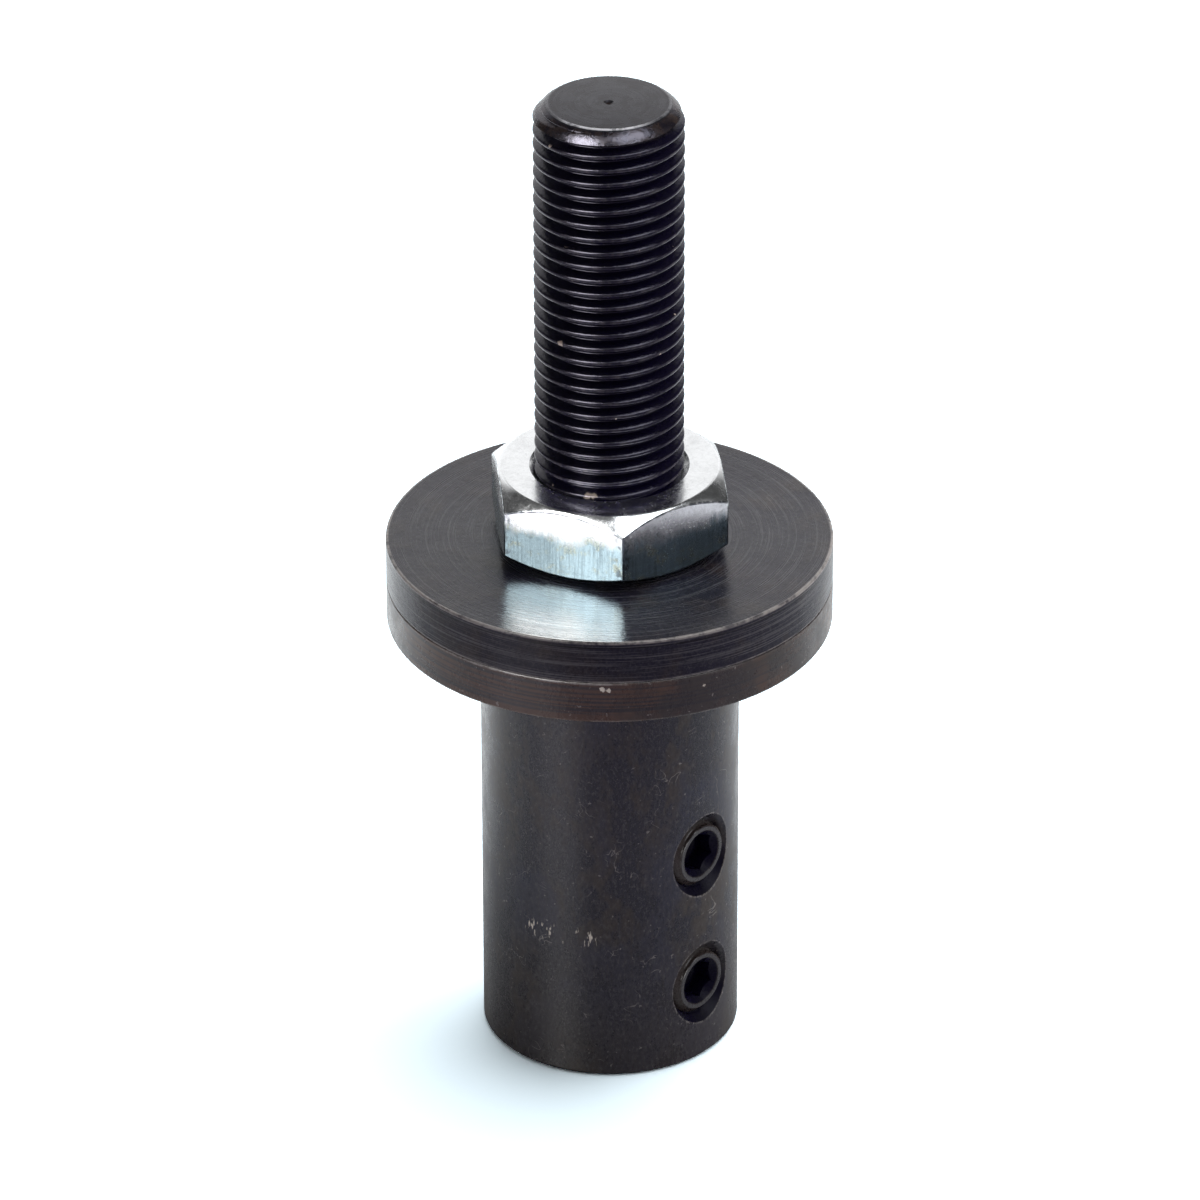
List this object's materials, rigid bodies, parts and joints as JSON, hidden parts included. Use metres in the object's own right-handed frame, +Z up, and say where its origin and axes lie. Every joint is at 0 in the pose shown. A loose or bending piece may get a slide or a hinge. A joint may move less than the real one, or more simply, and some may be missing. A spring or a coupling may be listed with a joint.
{
  "type": "grinding wheel arbor",
  "caption": "Motor-shaft arbor for a grinding wheel: bored sleeve with radial set screws, fixed flange, threaded stud, loose outer flange and hexagon nut.",
  "frame": {"origin": "centre of the sleeve's foot, at the mouth of the shaft bore", "axes": "+Z up along the arbor's axis towards the stud's end, +X out through the set-screw holes"},
  "size_m": [0.0382, 0.0382, 0.088],
  "materials": {
    "black_oxide_steel": "turned steel with an oiled black oxide finish",
    "zinc_plated_steel": "bright zinc plating with fine vertical brush lines",
    "alloy_steel": "black oxide"
  },
  "bodies": {
    "arbor": {"arbor_body": "black_oxide_steel"},
    "clamp": {"outer_flange": "black_oxide_steel"},
    "nut": {"hex_nut": "zinc_plated_steel"},
    "upper_screw": {"upper_set_screw": "alloy_steel"},
    "lower_screw": {"lower_set_screw": "alloy_steel"}
  },
  "joints": [
    {"name": "clamp_travel", "type": "slide", "parent": "arbor", "child": "clamp", "axis": [0, 0, 1], "range_m": [0, 0.03175]},
    {"name": "nut_turn", "type": "hinge", "parent": "clamp", "child": "nut", "pos_m": [0, 0, 0.0507], "axis": [0, 0, 1], "range_deg": [0, 9000]},
    {"name": "upper_screw_travel", "type": "slide", "parent": "arbor", "child": "upper_screw", "axis": [1, 0, 0], "range_m": [-0.00127, 0.00381]},
    {"name": "lower_screw_travel", "type": "slide", "parent": "arbor", "child": "lower_screw", "axis": [1, 0, 0], "range_m": [-0.00127, 0.00381]}
  ],
  "couplings": [
    {"joint": "nut_turn", "follows": "clamp_travel", "rad_per_m": 4947.4}
  ]
}
